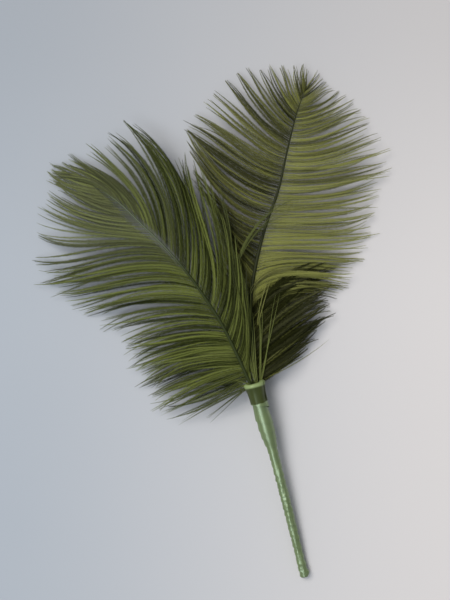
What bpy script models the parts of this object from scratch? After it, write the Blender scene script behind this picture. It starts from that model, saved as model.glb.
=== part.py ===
"""Two ostrich plumes bound on a ribbon-wrapped stem, lying on a flat surface.

The spray lies along +Y with its plumes towards +Y. It rests on the cut end of
its stem and on the drooping barbs of both plumes, so the stem climbs a little
from its end to the collar. Plume shapes are given in the spray's own frame, in
millimetres, with the stem's end at the origin; everything hangs on one empty
that puts the middle of the whole spray over the world's origin.
"""

import math

import bmesh
import bpy
import numpy as np
from mathutils import Matrix

MM = 0.001

# Where the stem's end lies, so that the whole spray is centred on the origin.
STEM_END_AT = (1.6 * MM, -130.2 * MM, 0.0)

# The stem: a wire, the quills' binding and the ribbon all share its axis.
STEM_CLIMB = math.radians(6.1)
AXIS_END_HEIGHT = 2.3 * MM
GAP = 0.3 * MM
WIRE_RADIUS = 0.8 * MM
WIRE_LENGTH = 103.0 * MM
RIBBON_WALL = 0.5 * MM
RIBBON_TURN = 3.9 * MM
RIBBON_STEP = 0.22 * MM
RIBBON_TOP = 104.0 * MM
BINDING_WALL = 0.4 * MM
BINDING_FROM = 78.0 * MM
BINDING_TO = 104.5 * MM
COLLAR_FROM = 94.0 * MM
COLLAR_TO = 106.0 * MM
COLLAR_FOOT = 4.55 * MM
COLLAR_MOUTH = 4.85 * MM
COLLAR_WALL = 0.35 * MM
COLLAR_ROLL = 0.35 * MM
ROUND_STEPS = 24

# Radius of the wrapped stem along its axis: (distance from the end, radius) in mm.
STEM_OUTLINE = ((0, 2.2), (30, 2.25), (52, 2.4), (62, 2.45), (69.5, 2.65),
                (74, 3.35), (79, 3.75), (84, 3.87), (94, 4.1), (106, 4.4))

# The plane between the plumes, where the left one lies on the right one. It
# climbs along X from the surface, and each plume keeps half the gap from it.
LIE_PLANE_FROM = -45.0
LIE_PLANE_SLOPE = 0.27
LIE_GAP = 0.3

# Barb tips touch the surface with this much of the plume's edge above it.
EDGE_THICKNESS = 2.0
LEAST_THICKNESS = 1.5
VANE_ROWS = 22
VANE_COLUMNS = 12
SHAFT_BEVEL_RESOLUTION = 3

# Each plume, in mm: (part of the shaft's length, shaft x, y, z, left tips x, y,
# right tips x, y). The tips are where the barbs that leave the shaft there end.
LEFT_PLUME = (
    (0.00, -3.0, 108.0, 15.3, -53.0, 97.0, 7.0, 138.0),
    (0.12, -5.8, 122.7, 17.8, -57.0, 122.0, 10.0, 168.0),
    (0.25, -9.4, 139.0, 20.3, -69.0, 147.0, 5.0, 190.0),
    (0.38, -14.6, 154.7, 21.8, -86.0, 166.0, -4.0, 211.0),
    (0.50, -20.7, 170.1, 22.3, -101.0, 182.0, -9.0, 229.0),
    (0.62, -28.3, 184.8, 21.5, -97.0, 203.0, -30.0, 251.0),
    (0.75, -37.0, 198.9, 19.0, -87.0, 223.0, -58.0, 249.0),
    (0.88, -45.8, 212.9, 15.0, -81.0, 235.0, -70.0, 245.0),
    (1.00, -57.0, 226.0, 10.0, -77.0, 241.0, -77.0, 241.0),
)
RIGHT_PLUME = (
    (0.00, 0.9, 108.0, 11.2, -8.0, 135.0, 28.0, 112.0),
    (0.12, 4.2, 124.8, 11.8, -11.0, 155.0, 50.0, 131.0),
    (0.25, 8.0, 144.8, 12.4, -12.0, 176.0, 60.0, 141.0),
    (0.38, 15.6, 163.8, 13.2, -12.0, 198.0, 74.0, 155.0),
    (0.50, 25.4, 181.7, 13.5, -10.0, 222.0, 85.0, 172.0),
    (0.62, 36.7, 198.8, 13.0, -4.0, 243.0, 96.0, 196.0),
    (0.75, 46.0, 217.0, 11.5, 15.0, 258.0, 97.0, 216.0),
    (0.88, 55.8, 235.0, 8.5, 43.0, 260.5, 86.0, 239.0),
    (1.00, 66.0, 251.0, 5.0, 68.0, 257.0, 68.0, 257.0),
)

# Where each quill lies beside the wire, across the stem's axis, in mm.
LEFT_QUILL_BESIDE = (-1.55, 1.0)
RIGHT_QUILL_BESIDE = (0.65, -1.75)
# The bound stretch: (distance along the spray in mm, part of that offset), so
# that the trimmed quill ends draw in to the wire.
QUILL_BOUND = ((84.0, 0.74), (90.0, 0.88), (97.0, 1.0), (103.0, 1.0))
# Radius of quill and shaft: (distance along the spray, radius) in mm.
SHAFT_OUTLINE = ((84, 0.35), (92, 0.65), (97, 0.75), (104, 0.9), (125, 1.05), (165, 0.9), (205, 0.65), (250, 0.3))
SHAFT_POINTS = 40


def clear_scene():
    """Empty the scene of every object."""
    for thing in list(bpy.data.objects):
        bpy.data.objects.remove(thing)


def finish(name, colour, roughness):
    """A Principled material of one colour."""
    material = bpy.data.materials.new(name)
    material.use_nodes = True
    shader = material.node_tree.nodes["Principled BSDF"]
    shader.inputs["Base Color"].default_value = (*colour, 1.0)
    shader.inputs["Roughness"].default_value = roughness
    shader.inputs["Metallic"].default_value = 0.0
    return material


def put_in_scene(name, mesh, material, parent):
    """A visible object of this mesh, hung on the parent."""
    piece = bpy.data.objects.new(name, mesh)
    mesh.materials.append(material)
    bpy.context.scene.collection.objects.link(piece)
    piece.parent = parent
    return piece


def empty(name, parent=None):
    """An empty for other objects to hang on."""
    frame = bpy.data.objects.new(name, None)
    bpy.context.scene.collection.objects.link(frame)
    frame.parent = parent
    return frame


def read_smoothly(stations, at):
    """Read the columns after the first at these places of the first column.

    The curve passes through every station, with tangents from its neighbours.
    """
    table = np.array(stations, float)
    place, value = table[:, 0], table[:, 1:]
    tangent = np.gradient(value, place, axis=0)
    i = np.clip(np.searchsorted(place, at, side="right") - 1, 0, len(place) - 2)
    span = (place[i + 1] - place[i])[:, None]
    u = (np.asarray(at) - place[i])[:, None] / span
    near = value[i] * (1 + 2 * u) * (1 - u) ** 2 + tangent[i] * span * u * (1 - u) ** 2
    far = value[i + 1] * u * u * (3 - 2 * u) + tangent[i + 1] * span * u * u * (u - 1)
    return near + far


def turned(name, section, material, parent):
    """Turn a closed section of (radius, distance along the axis) about the local Z axis."""
    mesh = bmesh.new()
    ring = [mesh.verts.new((radius, 0.0, along)) for radius, along in section]
    for here, there in zip(ring, ring[1:] + ring[:1]):
        mesh.edges.new((here, there))
    bmesh.ops.spin(mesh, geom=mesh.verts[:] + mesh.edges[:], cent=(0, 0, 0), axis=(0, 0, 1),
                   angle=math.tau, steps=ROUND_STEPS, use_merge=True)
    bmesh.ops.remove_doubles(mesh, verts=mesh.verts[:], dist=1e-6)
    loose = [edge for edge in mesh.edges if not edge.link_faces]
    bmesh.ops.delete(mesh, geom=loose, context="EDGES")
    bmesh.ops.recalc_face_normals(mesh, faces=mesh.faces[:])
    data = bpy.data.meshes.new(name)
    mesh.to_mesh(data)
    mesh.free()
    data.shade_smooth()
    data.set_sharp_from_angle(angle=math.radians(35))
    return put_in_scene(name, data, material, parent)


def stem_radius(along):
    """Radius of the wrapped stem at this distance from its end, both in metres."""
    place, radius = np.array(STEM_OUTLINE).T * MM
    return float(np.interp(along, place, radius))


def stem_wire(material, axis):
    """The straight wire in the middle of the stem."""
    first = RIBBON_WALL + GAP
    section = ((0.0, first), (WIRE_RADIUS, first), (WIRE_RADIUS, WIRE_LENGTH), (0.0, WIRE_LENGTH))
    return turned("stem_wire", section, material, axis)


def quill_binding(material, axis):
    """The tapered tape sleeve that holds both quills to the wire."""
    inset = RIBBON_WALL + GAP
    places = np.linspace(BINDING_FROM, BINDING_TO, 5)
    outer = [(stem_radius(place) - inset, place) for place in places]
    inner = [(radius - BINDING_WALL, place) for radius, place in reversed(outer)]
    return turned("quill_binding", outer + inner, material, axis)


def ribbon_wrap(material, axis):
    """The sleeve of wound ribbon: each turn laps over the top of the one below it."""
    turns = round(RIBBON_TOP / RIBBON_TURN)
    edges = np.linspace(0.0, RIBBON_TOP, turns + 1)
    outer = []
    for low, high in zip(edges, edges[1:]):
        outer.append((stem_radius(low) + RIBBON_STEP / 2, low))
        outer.append((stem_radius(high) - RIBBON_STEP / 2, high))
    inner_places = [place * MM for place, _ in reversed(STEM_OUTLINE) if place * MM < RIBBON_TOP]
    inner = [(stem_radius(RIBBON_TOP) - RIBBON_WALL, RIBBON_TOP)]
    inner += [(stem_radius(place) - RIBBON_WALL, max(place, RIBBON_WALL)) for place in inner_places]
    closed_end = [(0.0, RIBBON_WALL), (0.0, 0.0)]
    return turned("ribbon_wrap", outer + inner + closed_end, material, axis)


def ribbon_collar(material, axis):
    """The folded band round the top of the stem: it flares to its mouth, which is rolled."""
    mouth = COLLAR_MOUTH + COLLAR_WALL
    section = [(COLLAR_FOOT + COLLAR_WALL, COLLAR_FROM), (mouth, COLLAR_TO - 3 * COLLAR_ROLL)]
    middle = COLLAR_TO - COLLAR_ROLL
    for step in range(5):
        angle = math.radians(-60 + 30 * step)
        section.append((mouth + COLLAR_ROLL * math.cos(angle), middle + COLLAR_ROLL * math.sin(angle)))
    section += [(COLLAR_MOUTH, COLLAR_TO), (COLLAR_FOOT, COLLAR_FROM)]
    return turned("ribbon_collar", section, material, axis)


def lie_plane(x):
    """Height of the plane between the plumes, in mm."""
    return (x - LIE_PLANE_FROM) * LIE_PLANE_SLOPE


def over_plane(x, crown):
    """Top and underside of the left plume, which lies partly on the right one."""
    under = np.maximum(0.0, lie_plane(x) + LIE_GAP)
    return np.maximum(crown, under + LEAST_THICKNESS), under


def under_plane(x, crown):
    """Top and underside of the right plume, which lies under the left one."""
    return np.minimum(crown, lie_plane(x) - LIE_GAP), np.zeros_like(x)


def vane_sheet(mesh, stations, heights, side):
    """One sheet of the vane, top (0) or underside (1): a grid from tips to tips across the shaft."""
    made = bmesh.ops.create_grid(mesh, x_segments=VANE_ROWS, y_segments=VANE_COLUMNS, size=1.0)
    verts = made["verts"]
    corner = np.array([vert.co for vert in verts])
    along, across = (corner[:, 0] + 1) / 2, corner[:, 1]
    line = read_smoothly(stations, along)
    shaft, left, right = line[:, 0:2], line[:, 3:5], line[:, 5:7]
    tips = np.where((across < 0)[:, None], left, right)
    plan = shaft + (tips - shaft) * np.abs(across)[:, None]
    crown = EDGE_THICKNESS + (line[:, 2] - EDGE_THICKNESS) * (1 - across ** 2)
    height = heights(plan[:, 0], crown)[side]
    for vert, (x, y), z in zip(verts, plan, height):
        vert.co = (x * MM, y * MM, z * MM)
    bmesh.ops.remove_doubles(mesh, verts=verts, dist=1e-6)


def vane(stations, heights):
    """The closed body of the barbs: a top sheet and an underside joined round their edge."""
    mesh = bmesh.new()
    vane_sheet(mesh, stations, heights, 0)
    vane_sheet(mesh, stations, heights, 1)
    rim = [edge for edge in mesh.edges if len(edge.link_faces) == 1]
    bmesh.ops.bridge_loops(mesh, edges=rim)
    bmesh.ops.recalc_face_normals(mesh, faces=mesh.faces[:])
    data = bpy.data.meshes.new("vane")
    mesh.to_mesh(data)
    mesh.free()
    return data


def quill_route(stations, beside):
    """Points of quill and shaft in mm, from the trimmed end in the binding to the plume's tip."""
    offset_x, offset_z = beside
    bound = []
    for along, spread in QUILL_BOUND:
        axis_height = AXIS_END_HEIGHT / MM + along * math.tan(STEM_CLIMB)
        bound.append((offset_x * spread, along, axis_height + offset_z * spread))
    free = [(x, y, z) for _, x, y, z, *_ in stations[1:]]
    in_order = [(index, *point) for index, point in enumerate(bound + free)]
    return read_smoothly(in_order, np.linspace(0, len(in_order) - 1, SHAFT_POINTS))


def shaft_tool(route):
    """The round, tapering shaft as a mesh object that the vane is joined to."""
    curve = bpy.data.curves.new("shaft", "CURVE")
    curve.dimensions = "3D"
    curve.bevel_depth = MM
    curve.bevel_resolution = SHAFT_BEVEL_RESOLUTION
    curve.use_fill_caps = True
    line = curve.splines.new("POLY")
    line.points.add(len(route) - 1)
    place, radius = np.array(SHAFT_OUTLINE, float).T
    for point, (x, y, z) in zip(line.points, route):
        point.co = (x * MM, y * MM, z * MM, 1.0)
        point.radius = float(np.interp(y, place, radius))
    guide = bpy.data.objects.new("shaft_guide", curve)
    mesh = bpy.data.meshes.new_from_object(guide)
    tool = bpy.data.objects.new("shaft_tool", mesh)
    bpy.context.scene.collection.objects.link(tool)
    tool.hide_render = True
    tool.display_type = "WIRE"
    return tool


def plume(name, stations, heights, beside, material, parent):
    """One plume, grown as one piece: quill, shaft and the body of its barbs."""
    piece = put_in_scene(name, vane(stations, heights), material, parent)
    tool = shaft_tool(quill_route(stations, beside))
    tool.parent = parent
    join = piece.modifiers.new("shaft", "BOOLEAN")
    join.operation = "UNION"
    join.object = tool
    return piece


def build():
    """Make the whole spray."""
    clear_scene()
    spray = empty("spray")
    spray.location = STEM_END_AT
    axis = empty("stem_axis", spray)
    axis.matrix_local = (Matrix.Translation((0, 0, AXIS_END_HEIGHT))
                         @ Matrix.Rotation(STEM_CLIMB - math.pi / 2, 4, "X"))
    satin = finish("sage satin", (0.24, 0.32, 0.13), 0.35)
    steel = finish("stem wire", (0.35, 0.36, 0.34), 0.4)
    tape = finish("binding tape", (0.12, 0.17, 0.07), 0.8)
    plumage = finish("olive plumage", (0.07, 0.09, 0.03), 0.75)
    stem_wire(steel, axis)
    quill_binding(tape, axis)
    ribbon_wrap(satin, axis)
    ribbon_collar(satin, axis)
    plume("left_plume", LEFT_PLUME, over_plane, LEFT_QUILL_BESIDE, plumage, spray)
    plume("right_plume", RIGHT_PLUME, under_plane, RIGHT_QUILL_BESIDE, plumage, spray)


build()
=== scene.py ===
"""Two dyed ostrich plumes on a ribbon-wound stem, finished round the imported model.

The plumes are made of real barbs: each barb is a thin tapering rib with about
twenty fine barbules to the millimetre, all worked out as whole arrays. The
ribbon is a strip wound as a helix round the stem, and a folded collar closes it
at the top. Shapes are worked out in the spray's own frame, in millimetres, with
the stem's end at the origin and +Y towards the plumes, and are put in place
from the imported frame.
"""

import logging
import math
from collections.abc import Sequence
from dataclasses import dataclass
from enum import Enum

import bpy
import numpy as np
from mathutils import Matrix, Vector


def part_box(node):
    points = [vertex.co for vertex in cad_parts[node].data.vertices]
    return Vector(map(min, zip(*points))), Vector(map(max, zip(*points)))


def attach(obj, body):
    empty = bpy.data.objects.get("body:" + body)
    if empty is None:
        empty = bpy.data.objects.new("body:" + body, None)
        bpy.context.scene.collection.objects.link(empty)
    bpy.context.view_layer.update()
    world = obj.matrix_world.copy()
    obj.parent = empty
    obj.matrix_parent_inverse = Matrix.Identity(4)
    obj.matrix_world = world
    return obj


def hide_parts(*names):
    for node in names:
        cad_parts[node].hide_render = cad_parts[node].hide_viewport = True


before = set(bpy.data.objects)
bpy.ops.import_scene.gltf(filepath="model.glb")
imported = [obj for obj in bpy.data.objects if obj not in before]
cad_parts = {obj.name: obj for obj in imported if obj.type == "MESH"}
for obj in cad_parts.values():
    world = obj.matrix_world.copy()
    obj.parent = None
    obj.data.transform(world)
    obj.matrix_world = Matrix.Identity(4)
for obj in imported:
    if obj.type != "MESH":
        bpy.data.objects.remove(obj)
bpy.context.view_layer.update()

MM = 0.001
BODY = "root"
STEM_CLIMB = math.radians(6.1)
STEM_END_RADIUS = 2.31
AXIS_END_HEIGHT = 2.3
LEAST_CLOTH_HEIGHT = 0.03
FIBRE_MAP = "OFBake"
UP = np.array((0.0, 0.0, 1.0))
AHEAD = (0.0, 1.0, 0.0)

log = logging.getLogger("spray")

Array = np.ndarray
Material = bpy.types.Material
Mesh = bpy.types.Mesh
Node = bpy.types.Node
Socket = bpy.types.NodeSocket
Triple = tuple[float, float, float]
Curve = tuple[tuple[float, float], ...]


class Side(Enum):
    """Which side of its shaft a vane stands on, seen from above with the tip away."""

    LEFT = 1
    RIGHT = -1


def stem_end() -> Array:
    """Find where the stem's end lies on the surface.

    The wire's box gives the middle across. The ribbon's lowest Y is the end's
    centre less what its tilted round face reaches back.

    Returns:
        The place in metres, at the height of the surface.
    """
    wire_low, wire_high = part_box("stem_wire")
    wrap_low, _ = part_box("ribbon_wrap")
    reach_back = STEM_END_RADIUS * MM * math.sin(STEM_CLIMB)
    return np.array(((wire_low[0] + wire_high[0]) / 2, wrap_low[1] + reach_back, 0.0))


def in_place(points: Array) -> Array:
    """Turn points in mm in the spray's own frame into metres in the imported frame."""
    return (points + stem_end() / MM) * MM


def through(stations: Sequence[Sequence[float]], at: Array) -> Array:
    """Read a smooth curve that passes through stations.

    Cubic Hermite pieces, with each station's slope taken from its neighbours.

    Args:
        stations: rows of (place, value, value, ...), with places rising.
        at: the places to read.

    Returns:
        One row of values for each place, held level beyond the first and last.
    """
    table = np.array(stations, float)
    place, value = table[:, 0], table[:, 1:]
    at = np.clip(at, place[0], place[-1])
    slope = np.gradient(value, place, axis=0)
    i = np.clip(np.searchsorted(place, at, side="right") - 1, 0, len(place) - 2)
    span = (place[i + 1] - place[i])[:, None]
    u = (at - place[i])[:, None] / span
    near = value[i] * (1 + 2 * u) * (1 - u) ** 2 + slope[i] * span * u * (1 - u) ** 2
    far = value[i + 1] * u * u * (3 - 2 * u) + slope[i + 1] * span * u * u * (u - 1)
    return near + far


def unit(vectors: Array) -> Array:
    """Scale vectors along the last axis to length one."""
    return vectors / np.maximum(np.linalg.norm(vectors, axis=-1, keepdims=True), 1e-12)


def mesh_of(name: str, points: Array, faces: Array, smooth: bool) -> Mesh:
    """Put arrays into a new mesh.

    Args:
        name: the mesh's name.
        points: vertex places in metres, one row each.
        faces: vertex numbers, one row for each face, all with as many corners.
        smooth: whether its faces are shaded smooth.

    Returns:
        The mesh.
    """
    mesh = bpy.data.meshes.new(name)
    count, corners = faces.shape
    mesh.vertices.add(len(points))
    mesh.vertices.foreach_set("co", points.astype(np.float32).ravel())
    mesh.loops.add(count * corners)
    mesh.loops.foreach_set("vertex_index", faces.astype(np.int32).ravel())
    mesh.polygons.add(count)
    mesh.polygons.foreach_set("loop_start", np.arange(0, count * corners, corners, dtype=np.int32))
    mesh.polygons.foreach_set("use_smooth", np.full(count, smooth))
    mesh.update(calc_edges=True)
    return mesh


@dataclass(frozen=True)
class Stand:
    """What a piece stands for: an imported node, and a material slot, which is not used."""

    node: str
    slot: str

    def show(self, mesh: Mesh, material: Material) -> bpy.types.Object:
        """Make a finished piece of a mesh and tell the frame about it.

        Args:
            mesh: its shape, in place.
            material: its finish.

        Returns:
            The piece.
        """
        piece = bpy.data.objects.new(mesh.name, mesh)
        bpy.context.scene.collection.objects.link(piece)
        mesh.materials.append(material)
        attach(piece, BODY)
        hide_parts(self.node)
        log.info("%s: %d faces", piece.name, len(mesh.polygons))
        return piece


# ---------------------------------------------------------------- finishes


class Nodes:
    """A short way to write a material's nodes."""

    def __init__(self, tree: bpy.types.NodeTree) -> None:
        """Keep the tree that nodes are added to."""
        self.tree = tree

    def add(self, kind: str, **settings: object) -> Node:
        """Add a node of this kind with these properties set."""
        node = self.tree.nodes.new(kind)
        for name, value in settings.items():
            setattr(node, name, value)
        return node

    def join(self, source: Socket, target: Socket) -> None:
        """Link an output to an input."""
        self.tree.links.new(source, target)

    def mix(self, share: object, first: object, second: object) -> Socket:
        """Mix two colours.

        Args:
            share: a socket or number, how much of the second.
            first: a socket or linear colour.
            second: a socket or linear colour.

        Returns:
            The mixed colour's socket.
        """
        node = self.add("ShaderNodeMix", data_type="RGBA")
        for name, value in (("Factor_Float", share), ("A_Color", first), ("B_Color", second)):
            self.feed(next(s for s in node.inputs if s.identifier == name), value)
        return next(s for s in node.outputs if s.identifier == "Result_Color")

    def product(self, first: object, second: object) -> Socket:
        """Multiply two values.

        Args:
            first: a socket or number.
            second: a socket or number.

        Returns:
            The product's socket, kept within 0 and 1.
        """
        node = self.add("ShaderNodeMath", operation="MULTIPLY", use_clamp=True)
        self.feed(node.inputs[0], first)
        self.feed(node.inputs[1], second)
        return node.outputs[0]

    def place(self) -> Socket:
        """A point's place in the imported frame, in metres."""
        return self.add("ShaderNodeTexCoord").outputs["Object"]

    def along(self, direction: Triple) -> Socket:
        """Measure how far a point lies in a direction from the frame's origin.

        Args:
            direction: a direction of length one.

        Returns:
            The distance's socket, in metres.
        """
        node = self.add("ShaderNodeVectorMath", operation="DOT_PRODUCT")
        node.inputs[1].default_value = direction
        self.join(self.place(), node.inputs[0])
        return node.outputs["Value"]

    def slide(self, value: Socket, start: float, end: float, top: float = 1.0) -> Socket:
        """Rise smoothly from nothing to a top as a value grows.

        Args:
            value: the value's socket.
            start: where the rise starts.
            end: where the rise ends.
            top: what it rises to.

        Returns:
            The risen value's socket.
        """
        node = self.add("ShaderNodeMapRange", interpolation_type="SMOOTHSTEP")
        node.inputs["From Min"].default_value = start
        node.inputs["From Max"].default_value = end
        node.inputs["To Max"].default_value = top
        self.join(value, node.inputs["Value"])
        return node.outputs["Result"]

    def noise(self, scale: float) -> Socket:
        """Make cloudy noise.

        Args:
            scale: how fine it is.

        Returns:
            The noise's socket, 0 to 1.
        """
        node = self.add("ShaderNodeTexNoise")
        node.inputs["Scale"].default_value = scale
        self.join(self.place(), node.inputs["Vector"])
        return node.outputs["Fac"]

    def streaks(self, scale: Triple) -> Socket:
        """Make noise that is drawn out along an axis.

        Args:
            scale: how fine it is along each axis.

        Returns:
            The noise's socket, 0 to 1.
        """
        node = self.add("ShaderNodeTexNoise")
        stretch = self.add("ShaderNodeMapping")
        stretch.inputs["Scale"].default_value = scale
        self.join(self.place(), stretch.inputs["Vector"])
        self.join(stretch.outputs["Vector"], node.inputs["Vector"])
        return node.outputs["Fac"]

    def bump(self, shader: Node, height: Socket, strength: float, depth: float) -> None:
        """Raise a shader's surface.

        Args:
            shader: the shader.
            height: the height's socket, 0 to 1.
            strength: how much of it shows, 0 to 1.
            depth: how high 1 is, in metres.
        """
        node = self.add("ShaderNodeBump")
        node.inputs["Strength"].default_value = strength
        node.inputs["Distance"].default_value = depth
        self.join(height, node.inputs["Height"])
        self.join(node.outputs["Normal"], shader.inputs["Normal"])

    def feed(self, target: Socket, value: object) -> None:
        """Link a socket, or set a number or a colour, on an input."""
        if isinstance(value, Socket):
            self.join(value, target)
        elif isinstance(value, (int, float)):
            target.default_value = value
        else:
            target.default_value = (*value, 1.0) if len(value) == 3 else value


def new_material(name: str, **settings: float) -> tuple[Material, Nodes, Node]:
    """Make a material with its Principled shader.

    Args:
        name: the material's name.
        settings: numbers for the shader's inputs, such as ior for IOR and
            specular_ior_level for Specular IOR Level.

    Returns:
        The material, a writer for its nodes, and the shader.
    """
    material = bpy.data.materials.new(name)
    material.use_nodes = True
    shader = material.node_tree.nodes["Principled BSDF"]
    for key, value in settings.items():
        shader.inputs[key.replace("_", " ").title().replace("Ior", "IOR")].default_value = value
    return material, Nodes(material.node_tree), shader


@dataclass(frozen=True)
class PlumageFinish:
    """Dyed barbs: each fibre's shade comes from its own place on the fibre map.

    On that map U is how light the fibre is drawn, from deep to light: its dye,
    with painted shade and painted highlights worked in. V is how faded the fibre is, from none to all.
    """

    name: str
    deep: Triple
    light: Triple
    faded: Triple
    roughness: float = 0.75
    specular: float = 0.02

    def material(self) -> Material:
        """Build the material.

        Returns:
            The finished material.
        """
        made, nodes, shader = new_material(
            self.name, roughness=self.roughness, specular_ior_level=self.specular)
        shade = nodes.add("ShaderNodeUVMap", uv_map=FIBRE_MAP)
        parts = nodes.add("ShaderNodeSeparateXYZ")
        nodes.join(shade.outputs["UV"], parts.inputs[0])
        # U mixes deep to light: dye with painted shade and painted highlights.
        dyed = nodes.mix(parts.outputs["X"], self.deep, self.light)
        colour = nodes.mix(parts.outputs["Y"], dyed, self.faded)
        nodes.feed(shader.inputs["Base Color"], colour)
        return made


@dataclass(frozen=True)
class ShaftFinish:
    """The quill's horny skin: dark dye with fine streaks along it, paler past a place on Y in metres."""

    name: str
    deep: Triple
    light: Triple
    pale: Triple
    pale_from: float
    pale_to: float
    streak_scale: Triple = (2200.0, 160.0, 2200.0)
    streak_strength: float = 0.25
    streak_depth: float = 0.05 * MM
    roughness: float = 0.6
    specular: float = 0.25

    def material(self) -> Material:
        """Build the material.

        Returns:
            The finished material.
        """
        made, nodes, shader = new_material(
            self.name, roughness=self.roughness, specular_ior_level=self.specular)
        streak = nodes.streaks(self.streak_scale)
        dyed = nodes.mix(streak, self.deep, self.light)
        past = nodes.slide(nodes.along(AHEAD), self.pale_from, self.pale_to)
        nodes.feed(shader.inputs["Base Color"], nodes.mix(past, dyed, self.pale))
        nodes.bump(shader, streak, self.streak_strength, self.streak_depth)
        return made


@dataclass(frozen=True)
class SatinFinish:
    """Satin ribbon: fine threads that catch the light, soft uneven dye, and a painted highlight along the
    fold.

    The painted highlight starts past a place on Y in metres. The places given here lie
    beyond the spray, so there is no painted highlight unless others are given.
    """

    name: str
    deep: Triple
    light: Triple
    roughness: float = 0.40
    # The colour of the painted highlight along the fold.
    fold: Triple = (0.16, 0.22, 0.08)
    gloss: float = 1.0
    highlight_from: float = 1.0
    highlight_to: float = 2.0
    dye_scale: float = 260.0
    thread_scale: Triple = (900.0, 6000.0, 900.0)
    thread_strength: float = 0.35
    thread_depth: float = 0.04 * MM
    ior: float = 2.0
    shine: tuple[float, float, float, float] = (0.82, 1.0, 0.74, 1.0)

    def material(self) -> Material:
        """Build the material.

        Returns:
            The finished material.
        """
        made, nodes, shader = new_material(
            self.name, roughness=self.roughness, ior=self.ior, specular_ior_level=self.gloss)
        dyed = nodes.mix(nodes.noise(self.dye_scale), self.deep, self.light)
        # Past the start place the colour slides to the fold colour: a painted highlight.
        past = nodes.slide(nodes.along(AHEAD), self.highlight_from, self.highlight_to)
        nodes.feed(shader.inputs["Base Color"], nodes.mix(past, dyed, self.fold))
        nodes.bump(shader, nodes.streaks(self.thread_scale), self.thread_strength, self.thread_depth)
        shader.inputs["Specular Tint"].default_value = self.shine
        return made


@dataclass(frozen=True)
class HiddenFinish:
    """A plain hidden part's finish: two close shades mottled together."""

    name: str
    deep: Triple
    light: Triple
    roughness: float
    metallic: float
    mottle_scale: float = 900.0

    def material(self) -> Material:
        """Build the material.

        Returns:
            The finished material.
        """
        made, nodes, shader = new_material(self.name, roughness=self.roughness, metallic=self.metallic)
        colour = nodes.mix(nodes.noise(self.mottle_scale), self.deep, self.light)
        nodes.feed(shader.inputs["Base Color"], colour)
        return made


# ---------------------------------------------------------------- plumes


@dataclass
class Shaft:
    """A plume's quill and shaft: a smooth line with a tapering round section.

    The bound quill's points are x, y and height in mm. The free shaft's
    stations have the part of its length before them. The radii are given by y.
    """

    name: str
    bound: tuple[Triple, ...]
    stations: tuple[tuple[float, float, float, float], ...]
    radii: Curve = (
        (94, 0.7), (104, 0.95), (125, 1.0), (165, 0.85), (205, 0.62), (235, 0.36), (252, 0.12))
    sides: int = 12
    rings: int = 110

    def at(self, place: Array) -> Array:
        """Points of the shaft's line at these parts of its free length."""
        return through(self.stations, place)

    def heading(self, place: Array) -> Array:
        """Directions of the shaft seen from above, in radians from +X."""
        step = 0.01
        ahead = self.at(place + step) - self.at(place - step)
        return np.arctan2(ahead[:, 1], ahead[:, 0])

    def free_length(self) -> float:
        """Length of the free shaft in mm."""
        line = self.at(np.linspace(0, 1, 200))
        return float(np.linalg.norm(np.diff(line, axis=0), axis=1).sum())

    def build(self, stand: Stand, material: Material) -> None:
        """Make quill and shaft as one tapering tube.

        Args:
            stand: what it stands for.
            material: its finish.
        """
        route = [*self.bound, *(row[1:] for row in self.stations)]
        rows = [(index, *point) for index, point in enumerate(route)]
        line = through(rows, np.linspace(0, len(rows) - 1, self.rings))
        place, radius = np.array(self.radii, float).T
        points, faces = tube(line, np.interp(line[:, 1], place, radius), self.sides)
        stand.show(mesh_of(self.name, in_place(points), faces, True), material)


def tube(line: Array, radius: Array, sides: int, end_radius: float = 0.002) -> tuple[Array, Array]:
    """Carry a round section along a line, drawn in at both ends.

    Args:
        line: points x 3.
        radius: one for each point.
        sides: how many corners the section has.
        end_radius: what both ends are drawn in to, in mm.

    Returns:
        The points, and the faces as rows of four corners.
    """
    along = unit(np.gradient(line, axis=0))
    across = unit(np.cross(UP, along))
    up = np.cross(along, across)
    line = np.concatenate((line[:1], line, line[-1:]))
    across, up = (np.concatenate((v[:1], v, v[-1:])) for v in (across, up))
    radius = np.concatenate(((end_radius,), radius, (end_radius,)))
    turn = np.arange(sides) * math.tau / sides
    ring = across[:, None] * np.cos(turn)[None, :, None] + up[:, None] * np.sin(turn)[None, :, None]
    points = line[:, None] + ring * radius[:, None, None]
    row, corner = np.meshgrid(np.arange(len(line) - 1), np.arange(sides), indexing="ij")
    after = (corner + 1) % sides
    faces = np.stack((row * sides + corner, row * sides + after,
                      (row + 1) * sides + after, (row + 1) * sides + corner), -1)
    return points.reshape(-1, 3), faces.reshape(-1, 4)


def rib_mesh(paths: Array, root_radius: float, tip_radius: float) -> tuple[Array, Array]:
    """Carry a three-cornered section along many paths.

    The radius falls from root to tip as the square root of what is left. Both
    ends are open.

    Args:
        paths: barbs x points x 3.
        root_radius: at the root, in mm.
        tip_radius: at the tip, in mm.

    Returns:
        The points, and the faces as rows of four corners.
    """
    count, steps, _ = paths.shape
    along = unit(np.gradient(paths, axis=1))
    across = unit(np.cross(UP, along))
    up = np.cross(along, across)
    u = np.linspace(0, 1, steps)
    radius = (tip_radius + (root_radius - tip_radius) * np.sqrt(1 - u))[None, :, None, None]
    turn = np.radians((90.0, 210.0, 330.0))[None, None, :, None]
    ring = np.cos(turn) * across[:, :, None] + np.sin(turn) * up[:, :, None]
    points = (paths[:, :, None] + radius * ring).reshape(-1, 3)
    barb, step, corner = np.meshgrid(np.arange(count), np.arange(steps - 1), np.arange(3), indexing="ij")
    first = (barb * steps + step) * 3
    after = (corner + 1) % 3
    faces = np.stack((first + corner, first + after, first + 3 + after, first + 3 + corner), -1)
    return points, faces.reshape(-1, 4)


def bend_shares(steps: int) -> Array:
    """How much the root, middle and tip angles each count in every step: a parabola through all three."""
    u = (np.arange(steps) + 0.5) / steps
    return np.stack(((1 - u) * (1 - 2 * u), 4 * u * (1 - u), u * (2 * u - 1)))


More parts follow.
